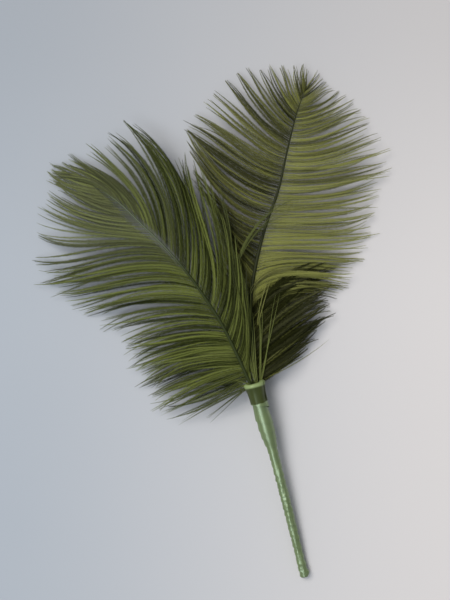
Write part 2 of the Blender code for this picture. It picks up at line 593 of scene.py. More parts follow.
def walked(start: Array, heading: Array, length: Array) -> Array:
    """Walk level in equal steps from each start.

    Args:
        start: barbs x 3, in mm.
        heading: barbs x steps, in radians from +X.
        length: each barb's length in mm.

    Returns:
        The paths, barbs x points x 3, at their starts' heights.
    """
    count, steps = heading.shape
    step = (length / steps)[:, None]
    paths = np.zeros((count, steps + 1, 3))
    paths[:, 1:, 0] = np.cumsum(np.cos(heading) * step, axis=1)
    paths[:, 1:, 1] = np.cumsum(np.sin(heading) * step, axis=1)
    return paths + start[:, None]


@dataclass
class Vane:
    """One side of a plume: barbs that leave the shaft, each with its barbules.

    A barb's direction is the parabola through its root, middle and tip angles.
    It drops from the shaft to its tip's height. Neighbours cling in strands of
    a few, and strands close in on each other in locks towards their tips.

    A station's row is a part of the shaft's length, the angles there at a
    barb's root, middle and tip from the shaft's forward direction towards the
    vane's own side, the barb's length, and its tip's height.

    Lengths are in mm and angles in degrees. The spreads are how far chance
    goes: of the angles at root, middle and tip, of the sway that a strand and a
    lock share, and of how light a barb, a strand and a lock are. A barbule's
    hang and lean are each a middle value and its spread.
    """

    name: str
    side: Side
    stations: tuple[tuple[float, ...], ...]
    seed: int
    span: tuple[float, float] = (0.0, 1.0)
    spacing: float = 0.85
    angle_spread: Triple = (1.2, 2.2, 8.0)
    sway_spread: tuple[float, float] = (1.3, 1.2)
    light_spread: Triple = (0.20, 0.28, 0.03)
    fade_spread: float = 0.03
    strand: tuple[int, int] = (1, 2)
    strand_cling: float = 0.8
    lock: tuple[int, int] = (2, 5)
    closing: Curve = ((0.0, 0.3), (1.0, 0.4))
    unruly: float = 1.0
    stray_share: float = 0.05
    stray_hold: float = 0.15
    barbule_gap: float = 0.102
    barbule_length: float = 1.8
    barbule_width: float = 0.20
    barbule_hang: tuple[float, float] = (26, 20)
    barbule_lean: tuple[float, float] = (28, 8)
    barbule_taper: float = 26.0
    barbule_height: float = 0.1
    rib: float = 0.13
    arch: float = 1.4
    wave: float = 0.4
    loft: float = 1.2
    bare: Curve = ((0.0, 0.0), (1.0, 0.0))
    pieces: int = 2
    steps: int = 13
    light: Curve = ((0.0, 0.45), (1.0, 0.45))
    fade: Curve = ((0.0, 0.03), (1.0, 0.03))

    def groups(self, count: int, least_most: tuple[int, int], random: np.random.Generator) -> Array:
        """Deal barbs in order into groups of random size.

        Args:
            count: how many barbs.
            least_most: the smallest and largest group.
            random: the generator.

        Returns:
            Each barb's group number.
        """
        sizes = random.integers(least_most[0], least_most[1] + 1, count)
        return np.repeat(np.arange(count), sizes)[:count]

    def gathered(self, paths: Array, group: Array, share: Array) -> Array:
        """Draw each barb towards the mean line of its group.

        Args:
            paths: barbs x points x 3.
            group: each barb's group number.
            share: barbs x points, how far towards the mean, 0 to 1.

        Returns:
            The gathered paths.
        """
        total = np.zeros((group.max() + 1, *paths.shape[1:]))
        np.add.at(total, group, paths)
        mean = total / np.bincount(group, minlength=len(total))[:, None, None].clip(1)
        return paths + (mean[group] - paths) * share[:, :, None]

    def barbs(self, shaft: Shaft, random: np.random.Generator) -> tuple[Array, Array, Array]:
        """Work out every barb's line.

        Args:
            shaft: the shaft that they leave.
            random: the generator.

        Returns:
            The paths, barbs x points x 3, in mm, each barb's place along the
            shaft, and how light each barb's strand is.
        """
        first, last = self.span
        count = round(shaft.free_length() * (last - first) / self.spacing)
        place = first + (last - first) * (np.arange(count) + random.uniform(0.2, 0.8, count)) / count
        root, middle, tip, length, tip_height = through(self.stations, place).T
        strand = self.groups(count, self.strand, random)
        lock = self.groups(count, self.lock, random)

        def own(spread: float) -> Array:
            """A random amount for each barb."""
            return random.normal(0, spread, count)

        sway = own(self.sway_spread[0])[strand] + own(self.sway_spread[1])[lock]
        root = root + own(self.angle_spread[0])
        middle = middle + (own(self.angle_spread[1]) + sway * 0.6) * self.unruly
        tip = tip + (own(self.angle_spread[2]) + sway * 2.0) * self.unruly
        members = np.bincount(lock)
        middle_of = np.bincount(lock, weights=np.arange(count)) / members.clip(1)
        off_middle = np.abs(np.arange(count) - middle_of[lock]) / (members[lock] / 2)
        shorter = 0.12 * random.random(count) ** 1.5
        length = length * (1.06 - shorter - 0.12 * off_middle) * (1 + own(0.03)[strand])
        by_root, by_middle, by_tip = bend_shares(self.steps - 1)
        bend = np.outer(root, by_root) + np.outer(middle, by_middle) + np.outer(tip, by_tip)
        heading = shaft.heading(place)[:, None] + self.side.value * np.radians(bend)
        start = shaft.at(place)
        plan = walked(start, heading, length)
        along = np.linspace(0, 1, self.steps)[None]
        drop = (tip_height - start[:, 2])[:, None] * along ** 1.5
        rise = (own(0.35) + own(self.loft)[strand] + own(self.loft * 0.7)[lock])[:, None]
        arch = self.arch * np.sin(np.pi * along ** 0.8) + rise * np.sin(np.pi * 0.6 * along)
        plan[:, :, 2] += drop + arch
        stray = random.random(count) < self.stray_share
        tight = np.clip(random.normal(0.75, 0.3, count), 0.1, 1.2)[strand]
        close = np.clip(random.normal(0.75, 0.35, count), 0.0, 1.3)[lock]
        free = np.where(stray, self.stray_hold, 1.0)
        held = self.strand_cling * (tight * free)[:, None] * along ** 0.55
        paths = self.gathered(plan, strand, np.clip(held, 0, 0.95))
        closing = through(self.closing, place) * (close * free)[:, None]
        paths = self.gathered(paths, lock, np.clip(closing * along ** 1.6, 0, 0.92))
        wave = random.uniform(0, math.tau, (count, 1)) + along * random.uniform(4, 10, (count, 1))
        normal = np.stack((-np.sin(heading), np.cos(heading)), -1)
        normal = np.concatenate((normal[:, :1], normal), axis=1)
        paths[:, :, :2] += normal * (self.wave * self.unruly * along * np.sin(wave))[:, :, None]
        paths[:, :, 2] = np.maximum(paths[:, :, 2], 0.35 + 0.5 * random.random((count, 1)))
        each, shared, whole = self.light_spread
        light = own(each) + own(shared)[strand] + own(whole)[lock]
        return paths, place, light

    def barbules(self, paths: Array, bare: Array, random: np.random.Generator) -> tuple[Array, Array]:
        """Work out every barbule as one long triangle on its barb's rib.

        Its base lies along the rib. It points forward and out to one side, and
        hangs at an angle that varies. Those that hang low reach further out
        and fill the gaps between barbs. Its length tapers away near the barb's
        tip, and the bare stretch at the root has none.

        Args:
            paths: barbs x points x 3, in mm.
            bare: each barb's bare length at its root, in mm.
            random: the generator.

        Returns:
            The points, three for each barbule, and for each barbule its barb,
            its place along it and how low it hangs, barbules x 3.
        """
        count, steps, _ = paths.shape
        length = np.linalg.norm(np.diff(paths, axis=1), axis=2).sum(1)
        number = np.maximum((2 * length / self.barbule_gap).astype(int), 2)
        barb = np.repeat(np.arange(count), number)
        order = np.arange(len(barb)) - np.repeat(np.cumsum(number) - number, number)
        u = np.clip((order + random.random(len(barb))) / number[barb], 0.01, 0.995)
        kept = u * length[barb] > bare[barb] * random.uniform(0.7, 1.3, len(barb))
        barb, u, order = barb[kept], u[kept], order[kept]
        cell = u * (steps - 1)
        i = np.minimum(cell.astype(int), steps - 2)
        part = (cell - i)[:, None]
        base = paths[barb, i] * (1 - part) + paths[barb, i + 1] * part
        along = unit(paths[barb, i + 1] - paths[barb, i])
        across = unit(np.cross(UP, along))
        up = np.cross(along, across)
        side = np.where(order % 2 == 0, 1.0, -1.0)
        hang = random.normal(*self.barbule_hang, len(barb))
        low = np.clip(hang / 40, 0, 1)
        lean = np.radians(random.normal(*self.barbule_lean, len(barb)) + 18 * low)[:, None]
        roll = -np.radians(hang)[:, None]
        out = across * side[:, None] * np.cos(roll) + up * np.sin(roll)
        toward = along * np.cos(lean) + out * np.sin(lean)
        reach = self.barbule_length * random.uniform(0.75, 1.15, len(barb)) * (0.6 + 0.5 * low)
        left = (1 - u) * length[barb]
        reach = reach * np.minimum(1.0, 0.10 + left / self.barbule_taper) * np.minimum(1.0, 0.45 + u * 5)
        half = along * (self.barbule_width / 2)
        first, second = base - half, base + half
        third = base + toward * reach[:, None]
        third[:, 2] = np.maximum(third[:, 2], self.barbule_height)
        flip = np.cross(second - first, third - first)[:, 2] < 0
        first[flip], second[flip] = second[flip], first[flip].copy()
        points = np.stack((first, second, third), 1).reshape(-1, 3)
        return points, np.stack((barb, u, low), 1)

    def build(self, shaft: Shaft, stand: Stand, material: Material) -> None:
        """Make the vane's pieces, each a stretch of the shaft's barbs.

        Args:
            shaft: the shaft that the barbs leave.
            stand: what they stand for.
            material: their finish.
        """
        random = np.random.default_rng(self.seed)
        paths, place, own_light = self.barbs(shaft, random)
        light = through(self.light, place)[:, 0] + own_light
        fade = through(self.fade, place)[:, 0] + random.normal(0, self.fade_spread, len(place))
        bare = through(self.bare, place)[:, 0]
        first, last = self.span
        share = ((place - first) / (last - first) * self.pieces).astype(int).clip(0, self.pieces - 1)
        for piece in range(self.pieces):
            chosen = share == piece
            fur = fibres(self, paths[chosen], light[chosen], fade[chosen], bare[chosen], random)
            stand.show(fur_mesh(f"{self.name}_{piece + 1}", *fur), material)


def fibres(kind: Vane, paths: Array, light: Array, fade: Array, bare: Array,
           random: np.random.Generator) -> tuple[Array, Array, Array]:
    """Give barbs their ribs and barbules and their places on the fibre map.

    Args:
        kind: the vane whose barbules they have.
        paths: barbs x points x 3, in mm.
        light: each barb's lightness.
        fade: each barb's fading.
        bare: each barb's bare length at its root, in mm.
        random: the generator.

    Returns:
        The points in mm, the faces with three corners each, and each point's
        place on the fibre map.
    """
    steps = paths.shape[1]
    rib_points, quads = rib_mesh(paths, kind.rib, 0.3 * kind.rib)
    rib_faces = np.concatenate((quads[:, (0, 1, 2)], quads[:, (0, 2, 3)]))
    points, where = kind.barbules(paths, bare, random)
    barb, u, low = where[:, 0].astype(int), where[:, 1], where[:, 2]
    faces = np.arange(len(points)).reshape(-1, 3) + len(rib_points)
    own = random.normal(0, 0.07, len(u))
    # Painted shade and light: barbules near the shaft and those that hang low are darker, each barbule's two
    # base corners are lighter and its tip corner much darker.
    root_shade = 0.3 * np.exp(-u / 0.05)
    fibre_tone_and_shade = (light[barb] + own + 0.08 * u + 0.34 - 0.45 * low - root_shade)[:, None]
    fibre_tone_and_shade = fibre_tone_and_shade + np.array((0.10, 0.08, -0.6))
    fibre_fade = (fade[barb] + 0.10 * u ** 3 + own * 0.2)[:, None] + np.array((0.0, 0.015, 0.03))
    rib_barb = np.repeat(np.arange(len(paths)), steps * 3)
    corner = np.tile(np.array((0.0, 0.02, 0.04)), len(paths) * steps)
    # Painted highlight: each rib is drawn lighter than its barbules.
    rib_tone_and_highlight = light[rib_barb] + 0.36 + corner
    rib_fade = fade[rib_barb] + corner[::-1] * 0.5
    shade = np.stack((np.concatenate((rib_tone_and_highlight, fibre_tone_and_shade.ravel())),
                      np.concatenate((rib_fade, fibre_fade.ravel()))), 1)
    points = np.concatenate((rib_points, points))
    faces = np.concatenate((rib_faces, faces))
    return points, faces, np.clip(shade, 0.01, 0.99)


def fur_mesh(name: str, points: Array, faces: Array, shade: Array) -> Mesh:
    """Put fibres into a mesh with their fibre map.

    Args:
        name: the mesh's name.
        points: in mm, in the spray's frame.
        faces: rows of three corners.
        shade: each point's place on the fibre map.

    Returns:
        The mesh, in place.
    """
    mesh = mesh_of(name, in_place(points), faces, False)
    layer = mesh.uv_layers.new(name=FIBRE_MAP)
    layer.data.foreach_set("uv", shade[faces.ravel()].astype(np.float32).ravel())
    return mesh


@dataclass(frozen=True)
class Stray:
    """One loose strand: where it starts, its headings from +X, its length and its tip's height."""

    start: Triple
    root: float
    middle: float
    tip: float
    length: float
    tip_height: float
    barbs: int = 1
    light: float = 0.4


@dataclass
class StrayStrands:
    """Loose strands that cross the vanes."""

    name: str
    strands: tuple[Stray, ...]
    like: Vane
    steps: int = 13
    fade: float = 0.1
    bare: float = 1.5

    def build(self, stand: Stand, material: Material) -> None:
        """Make the loose strands as one piece.

        Args:
            stand: what they stand for.
            material: their finish.
        """
        random = np.random.default_rng(self.like.seed + 100)
        rows = [s for s in self.strands for _ in range(s.barbs)]
        count = len(rows)
        angles = np.array([(s.root, s.middle, s.tip) for s in rows]) + random.normal(0, 3.5, (count, 3))
        length = np.array([s.length for s in rows]) * random.uniform(0.85, 1.0, count)
        start = np.array([s.start for s in rows]) + random.normal(0, 0.35, (count, 3))
        along = np.linspace(0, 1, self.steps)[None]
        rise = (np.array([s.tip_height for s in rows]) - start[:, 2])[:, None]
        paths = walked(start, np.radians(angles @ bend_shares(self.steps - 1)), length)
        paths[:, :, 2] += rise * along ** 1.3
        light = np.array([s.light for s in rows])
        fur = fibres(self.like, paths, light, np.full(count, self.fade), np.full(count, self.bare), random)
        stand.show(fur_mesh(self.name, *fur), material)


LEFT_SHAFT = Shaft("left_plume_shaft", ((-1.55, 92.0, 13.1), (-1.65, 96.5, 13.6)), (
    (-0.05, -2.0, 101.0, 14.2),
    (0.00, -3.0, 107.0, 15.1),
    (0.12, -5.8, 122.7, 17.8),
    (0.25, -9.4, 139.0, 20.3),
    (0.38, -14.6, 154.7, 21.8),
    (0.50, -20.7, 170.1, 22.3),
    (0.62, -28.3, 184.8, 21.5),
    (0.75, -37.0, 198.9, 19.0),
    (0.88, -45.8, 212.9, 15.0),
    (1.00, -57.0, 226.0, 10.0),
), ((94, 0.7), (104, 0.9), (125, 0.85), (165, 0.68), (205, 0.5), (225, 0.3), (252, 0.12)))
RIGHT_SHAFT = Shaft("right_plume_shaft", ((0.65, 92.0, 10.4), (0.7, 96.5, 10.9)), (
    (-0.04, 0.8, 101.0, 11.4),
    (0.00, 1.0, 107.0, 11.6),
    (0.12, 4.2, 124.8, 11.8),
    (0.25, 8.0, 144.8, 12.4),
    (0.38, 15.6, 163.8, 13.2),
    (0.50, 25.4, 181.7, 13.5),
    (0.62, 36.7, 198.8, 13.0),
    (0.75, 46.0, 217.0, 11.5),
    (0.88, 55.8, 235.0, 8.5),
    (1.00, 64.5, 247.5, 5.5),
))

LEFT_PLUME_VANES = (
    Vane("left_plume_down", Side.LEFT, (
        (0.00, 104, 96, 80, 46, 2),
        (0.03, 84, 92, 86, 50, 3),
        (0.08, 66, 86, 92, 54, 3),
        (0.14, 56, 80, 92, 56, 3),
        (0.22, 46, 74, 92, 54, 3),
    ), seed=13, span=(0.0, 0.2), spacing=0.55, light=((0.0, 0.3), (1.0, 0.3)), loft=1.8, unruly=1.5, pieces=1,
        closing=((0.0, 0.1), (1.0, 0.1))),
    Vane("left_plume_left_barbs", Side.LEFT, (
        (0.00, 80, 84, 80, 50, 3),
        (0.08, 66, 78, 98, 51, 3),
        (0.16, 62, 76, 86, 54, 2),
        (0.25, 48, 70, 82, 60, 2),
        (0.34, 42, 62, 80, 66, 2),
        (0.42, 33, 66, 60, 76, 2),
        (0.51, 33, 62, 60, 79, 2),
        (0.60, 30, 54, 32, 74, 2),
        (0.66, 36, 34, 14, 67, 2),
        (0.74, 44, 24, 8, 57, 2),
        (0.84, 44, 18, 6, 45, 2),
        (0.92, 34, 18, -4, 37, 2),
        (1.00, 15, 8, -5, 26, 2),
    ), seed=11, bare=((0.0, 0.0), (0.48, 0.0), (0.6, 4.0), (0.75, 6.5), (0.9, 4.0), (1.0, 1.0)),
        light=((0.0, 0.30), (0.5, 0.30), (0.65, 0.25), (1.0, 0.35)),
        fade=((0.0, 0.02), (0.5, 0.08), (0.7, 0.28), (1.0, 0.28)), unruly=1.1, lock=(2, 6),
        closing=((0.0, 0.05), (0.3, 0.12), (0.42, 0.5), (0.6, 0.7), (0.7, 0.8), (1.0, 0.7))),
    Vane("left_plume_right_barbs", Side.RIGHT, (
        (-0.045, 10, 14, 6, 38, 18),
        (0.00, 24, 18, 10, 44, 20),
        (0.06, 48, 23, 18, 48, 20),
        (0.16, 46, 25, 10, 54, 20),
        (0.24, 52, 25, 6, 60, 19),
        (0.29, 52, 24, 16, 76, 17),
        (0.34, 50, 15, 30, 84, 15),
        (0.38, 47, 22, 6, 72, 14),
        (0.42, 42, 20, -12, 80, 13),
        (0.46, 42, 19, -16, 90, 12),
        (0.52, 44, 20, -12, 86, 11),
        (0.58, 45, 17, -10, 75, 8),
        (0.64, 42, 12, -10, 66, 6),
        (0.70, 38, 3, -12, 59, 4),
        (0.77, 34, -7, -8, 51, 3),
        (0.84, 28, -14, -12, 46, 2),
        (0.90, 20, -19, -22, 38, 2),
        (1.00, 0, -8, -15, 26, 2),
    ), seed=12, span=(-0.045, 1.0),
        bare=((0.0, 0.0), (0.48, 0.0), (0.6, 2.5), (0.75, 4.0), (0.9, 3.0), (1.0, 1.0)),
        light=((0.0, 0.30), (0.3, 0.28), (0.45, 0.12), (0.75, 0.10), (1.0, 0.25)),
        fade=((0.0, 0.02), (0.6, 0.06), (0.8, 0.2), (1.0, 0.25)), lock=(2, 6),
        closing=((0.0, 0.1), (0.3, 0.2), (0.42, 0.6), (0.7, 0.75), (1.0, 0.7))),
)
RIGHT_PLUME_VANES = (
    Vane("right_plume_left_barbs", Side.LEFT, (
        (0.00, 30, 22, 20, 38, 8),
        (0.12, 35, 24, 24, 44, 8),
        (0.29, 42, 26, 30, 46, 7),
        (0.40, 70, 46, 46, 46, 6),
        (0.48, 100, 62, 56, 52, 5),
        (0.55, 100, 66, 54, 61, 4),
        (0.60, 94, 70, 56, 62, 3),
        (0.67, 92, 64, 74, 58, 3),
        (0.73, 84, 62, 68, 55, 2),
        (0.80, 76, 50, 54, 46, 2),
        (0.86, 66, 44, 44, 35, 2),
        (0.92, 56, 36, 32, 24, 2),
        (0.96, 40, 26, 20, 18, 3),
        (1.00, 16, 12, 8, 10, 4),
    ), seed=21, barbule_width=0.24, light=((0.0, -0.06), (0.5, -0.02), (1.0, 0.14)), lock=(3, 6),
        fade=((0.0, 0.0), (0.5, 0.04), (1.0, 0.06)),
        closing=((0.0, 0.2), (0.35, 0.3), (0.45, 0.85), (0.7, 0.8), (1.0, 0.65))),
    Vane("right_plume_right_barbs", Side.RIGHT, (
        (-0.03, 64, 66, 62, 32, 4),
        (0.05, 50, 60, 76, 46, 3),
        (0.13, 30, 66, 104, 51, 2),
        (0.23, 34, 84, 102, 54, 2),
        (0.33, 48, 82, 82, 55, 2),
        (0.42, 70, 76, 66, 60, 2),
        (0.48, 71, 72, 54, 60, 2),
        (0.59, 74, 62, 56, 58, 2),
        (0.67, 86, 66, 60, 57, 2),
        (0.73, 90, 60, 57, 53, 2),
        (0.80, 84, 52, 54, 45, 2),
        (0.87, 74, 46, 38, 32, 2),
        (0.92, 60, 34, 36, 21, 2),
        (1.00, 12, 10, 4, 11, 4),
    ), seed=22, span=(-0.03, 1.0),
        light=((-0.03, -0.25), (0.12, -0.12), (0.2, 0.15), (0.32, 0.85), (0.5, 0.95), (0.7, 0.7), (1.0, 0.4)),
        fade=((-0.03, 0.0), (0.2, 0.03), (0.35, 0.1), (1.0, 0.08)),
        lock=(2, 4), closing=((0.0, 0.2), (0.45, 0.3), (0.6, 0.5), (1.0, 0.6)), barbule_gap=0.105),
    # The down at this plume's base is drawn dark as painted shade under the dense layers above it.
    Vane("right_plume_down", Side.RIGHT, (
        (-0.03, 68, 68, 62, 33, 4),
        (0.02, 62, 64, 62, 42, 4),
        (0.06, 52, 60, 66, 48, 4),
        (0.12, 40, 56, 74, 50, 3),
        (0.20, 34, 64, 88, 54, 3),
    ), seed=23, span=(-0.03, 0.24), spacing=0.55, barbule_length=2.8, barbule_width=0.32,
        light=((0.0, -0.4), (1.0, -0.3)), fade=((0.0, 0.0), (1.0, 0.0)), loft=2.0, unruly=1.4, pieces=1,
        closing=((0.0, 0.1), (1.0, 0.1))),
)


LEFT_STRAYS = StrayStrands("left_plume_strays", (
    Stray((5.0, 164.0, 19.0), 64, 34, 14, 52, 20.0, barbs=6, light=0.3),
    Stray((9.0, 170.0, 18.5), 52, 26, 8, 36, 19.0, barbs=4, light=0.05),
    Stray((1.0, 104.0, 15.6), 84, 79, 82, 40, 17.0, barbs=3, light=0.85),
    Stray((2.4, 104.0, 14.8), 74, 76, 80, 46, 15.5, barbs=3, light=0.8),
    Stray((0.0, 104.0, 15.8), 92, 88, 94, 36, 18.0, barbs=2, light=0.8),
    Stray((3.0, 104.5, 14.0), 66, 66, 62, 52, 15.0, barbs=2, light=0.75),
    Stray((-3.0, 104.0, 15.4), 178, 186, 196, 52, 3.0, barbs=3, light=0.6),
    Stray((-3.0, 103.6, 15.0), 190, 196, 200, 44, 2.0, barbs=5, light=0.2),
    Stray((-3.2, 103.2, 14.4), 200, 206, 206, 30, 2.0, barbs=4, light=0.1),
    Stray((-0.8, 102.6, 13.0), 92, 92, 94, 22, 15.0, barbs=7, light=0.05),
    Stray((1.2, 102.6, 12.4), 84, 82, 82, 24, 13.5, barbs=6, light=0.05),
    Stray((-3.0, 104.0, 15.2), 168, 181, 188, 50, 3.0, barbs=3, light=0.6),
    Stray((-3.0, 105.0, 15.6), 150, 170, 186, 52, 4.0, barbs=3, light=0.6),
), Vane("", Side.LEFT, (), seed=31, barbule_gap=0.14, barbule_length=0.8, rib=0.12))
RIGHT_STRAYS = StrayStrands("right_plume_strays", (
    Stray((8.5, 149.0, 15.0), 58, 8, -4, 38, 15.5, barbs=4, light=0.05),
    Stray((9.0, 133.0, 14.5), 66, 60, 52, 36, 14.0, barbs=2, light=0.6),
    Stray((3.5, 105.0, 11.8), 14, 15, 24, 46, 1.5, barbs=1, light=0.3),
    Stray((3.5, 105.0, 11.0), 30, 20, 6, 34, 2.0, barbs=2, light=0.3),
), Vane("", Side.RIGHT, (), seed=32, barbule_gap=0.14, barbule_length=0.9, rib=0.12))


# ---------------------------------------------------------------- ribbon


WRAP = Stand("ribbon_wrap", "ribbon_satin")
COLLAR = Stand("ribbon_collar", "ribbon_satin")


@dataclass(frozen=True)
class Stem:
    """The stem's axis, which climbs from its end, and the outline of the ribbon round it."""

    climb: float = STEM_CLIMB
    end_height: float = AXIS_END_HEIGHT
    bow: Curve = ((-3, 0.3), (45, 0.45), (72, 0.2), (90, -0.3), (106, -0.5))
    outline: Curve = (
        (-3, 1.95), (30, 2.0), (52, 2.12), (62, 2.2), (69.5, 2.45), (74, 3.2), (79, 3.72), (84, 3.87),
        (94, 4.1), (106, 4.4))

    def radius(self, along: Array) -> Array:
        """Radius of the wound ribbon at these distances from the end, in mm."""
        return through(self.outline, along.ravel())[:, 0].reshape(np.shape(along))

    def place(self, along: Array, angle: Array, radius: Array) -> Array:
        """Turn distance along, angle round from the top towards +X, and radius into points in mm."""
        ahead = np.array((0.0, math.cos(self.climb), math.sin(self.climb)))
        up = np.array((0.0, -math.sin(self.climb), math.cos(self.climb)))
        right = np.array((1.0, 0.0, 0.0))
        across = np.sin(angle)[..., None] * right + np.cos(angle)[..., None] * up
        aside = through(self.bow, along.ravel())[:, 0].reshape(along.shape)[..., None] * right
        return (along[..., None] * ahead + aside + radius[..., None] * across
                + np.array((0.0, 0.0, self.end_height)))


def grid_faces(rows: int, columns: int) -> Array:
    """Faces of an open grid of points, rows x columns."""
    row, column = np.meshgrid(np.arange(rows - 1), np.arange(columns - 1), indexing="ij")
    first = row * columns + column
    return np.stack((first, first + 1, first + columns + 1, first + columns), -1).reshape(-1, 4)


def ripples(across: Array, along: Array, seed: int, longest: float, shortest: float, count: int = 9) -> Array:
    """Add up sine ripples that run at chance angles, from about -1 to 1.

    Args:
        across: one coordinate in mm.
        along: the other coordinate in mm.
        seed: which ripples.
        longest: the longest wave in mm.
        shortest: the shortest wave in mm.
        count: how many.

    Returns:
        The height at each place.
    """
    random = np.random.default_rng(seed)
    total = np.zeros(np.broadcast(across, along).shape)
    for wave in np.geomspace(longest, shortest, count):
        turn, shift = random.uniform(0, math.pi), random.uniform(0, math.tau)
        total += np.sin((across * math.cos(turn) + along * math.sin(turn)) * math.tau / wave + shift)
    return total / math.sqrt(count)


@dataclass
class WoundRibbon:
    """The satin ribbon wound up the stem, each turn lapping over the top of the one below.

    Lengths are in mm. The lay says how far up the stem each turn's lower edge
    is. The knot is a small bulge near the foot, at an angle in degrees.
    """

    stem: Stem
    width: float = 10.0
    step: float = 0.5
    foot: float = -2.6
    lay: Curve = (
        (-1.5, -2.6), (-0.6, -2.6), (6, 23.4), (12, 46.8), (18, 70.2), (19, 74.3), (20, 78.7), (21, 83.4),
        (22, 93.2), (22.6, 96))
    turn_steps: int = 54
    columns: int = 20
    crinkle: float = 0.2
    wander: float = 0.42
    mean_radius: float = 2.6
    tight_from: float = 76.0
    knot_height: float = 0.6
    knot_angle: float = 65.0
    end_radius: float = 1.7

    def build(self, material: Material) -> None:
        """Make the wound strip and the drawn-in end.

        Args:
            material: its finish.
        """
        first, last = self.lay[0][0], self.lay[-1][0]
        turns = np.linspace(first, last, int((last - first) * self.turn_steps))[:, None]
        across = np.linspace(0, 1, self.columns)[None] * self.width
        round_stem = turns * math.tau * self.mean_radius
        lay = through(self.lay, turns[:, 0])[:, 0][:, None]
        loose = np.clip((self.tight_from - lay) / 30, 0.2, 1.0)
        low = np.maximum(lay + self.wander * loose * ripples(round_stem, 0.0, 3, 40.0, 7.0), self.foot)
        along = low + across * np.ones_like(turns)
        radius = self.stem.radius(along) + self.step * (1 - 2.0 * across / self.width)
        fold = ripples(round_stem, across * 1.3, 5, 6.0, 1.7, 7)
        crease = ripples(round_stem * 0.6, across * 0.9 + turns * 5, 8, 9.0, 3.0, 5)
        radius += self.crinkle * loose * (0.55 * fold + 0.8 * (0.5 - np.abs(crease) ** 0.8))
        angle = -turns * math.tau
        knot = np.angle(np.exp(1j * (angle - math.radians(self.knot_angle))))
        radius += self.knot_height * np.exp(-((along - self.foot - 2.4) / 1.3) ** 2 - (knot / 0.45) ** 2)
        drawn_in = np.clip(self.foot + 1.2 - along, 0, 1.2) / 1.7
        radius *= np.sqrt(np.clip(1 - drawn_in ** 2, 0.05, 1))
        points = self.stem.place(along, angle + 0 * across, radius)
        points[..., 2] = np.maximum(points[..., 2], LEAST_CLOTH_HEIGHT)
        mesh = mesh_of("wound_ribbon", in_place(points.reshape(-1, 3)), grid_faces(*points.shape[:2]), True)
        strip = WRAP.show(mesh, material)
        self.end(material)

    def end(self, material: Material) -> None:
        """Close the stem's end with the ribbon's drawn-in start.

        Args:
            material: its finish.
        """
        reach = np.linspace(0, 1, 9)[:, None]
        angle = np.linspace(0, math.tau, 41)[None]
        radius = self.end_radius * reach * (1 + 0.05 * np.sin(3 * angle + 1) * reach)
        along = self.foot - 0.25 + 0.55 * reach ** 3 + 0.10 * np.sin(2 * angle + 0.6) * reach
        along = along + 0.12 * np.sin(5 * angle) * reach ** 2
        points = self.stem.place(along, angle + 0 * reach, radius)
        points[..., 2] = np.maximum(points[..., 2], LEAST_CLOTH_HEIGHT)
        mesh = mesh_of("ribbon_end", in_place(points.reshape(-1, 3)), grid_faces(*points.shape[:2]), True)
        WRAP.show(mesh, material)


@dataclass
class Collar:
    """The band of ribbon folded round the top of the stem, with a rolled mouth and its end lapped over.

    Lengths are in mm, and flat in metres; flat is not used. The lap's start and reach and the
    angle at the left where the mouth stands out are in degrees.
    """

    stem: Stem
    foot: float = 94.6
    fold: float = 104.2
    foot_radius: float = 4.72
    mouth_radius: float = 5.7
    roll: float = 1.3
    lap_from: float = 62.0
    lap: float = 48.0
    lap_step: float = 0.28
    flare_angle: float = 75.0
    flare: float = 0.35
    flat: tuple[float, float] = (0.013, 0.036)

    def build(self, material: Material) -> None:
        """Make the band.

        The profile runs from the outer foot up to the mouth, round the roll and
        a little way down inside.

        Args:
            material: its finish.
        """
        face = np.linspace(0, 1, 18)
        along = self.foot + (self.fold - self.foot) * face
        radius = self.foot_radius + (self.mouth_radius - self.foot_radius) * (0.3 * face + 0.7 * face ** 3)
        turn = np.linspace(0, math.pi, 15)[1:]
        inside = self.fold - np.linspace(0.5, 2.2, 4)
        along = np.concatenate((along, self.fold + self.roll * np.sin(turn), inside))
        radius = np.concatenate((radius, self.mouth_radius - self.roll * (1 - np.cos(turn)),
                                 np.full(len(inside), self.mouth_radius - 2 * self.roll)))
        angle = np.radians(self.lap_from) + np.linspace(0, math.tau + math.radians(self.lap), 150)
        round_stem = (angle * 5)[:, None]
        rise = np.clip((along - self.foot) / (self.fold - self.foot), 0, 1)[None]
        layer = -self.lap_step * (angle - angle[0])[:, None] / math.tau
        left = np.clip(np.cos(angle + math.radians(self.flare_angle)), 0, 1)[:, None] ** 2
        radius = radius[None] + layer + self.flare * left * rise ** 2
        radius = radius + 0.10 * ripples(round_stem, along[None] * 0.6, 21, 11.0, 4.0, 5)
        along = along[None] + 0.18 * ripples(round_stem, 0.0, 23, 16.0, 5.0, 4) * np.ones_like(radius)
        points = self.stem.place(along, angle[:, None] + 0 * radius, radius)
        mesh = mesh_of("folded_collar", in_place(points.reshape(-1, 3)),
                       grid_faces(*points.shape[:2])[:, ::-1], True)
        band = COLLAR.show(mesh, material)


@dataclass(frozen=True)
class Lamp:
    """A square lamp that shines at the frame's origin, in metres and watts."""

    name: str
    place: Triple
    size: float
    power: float
    colour: Triple


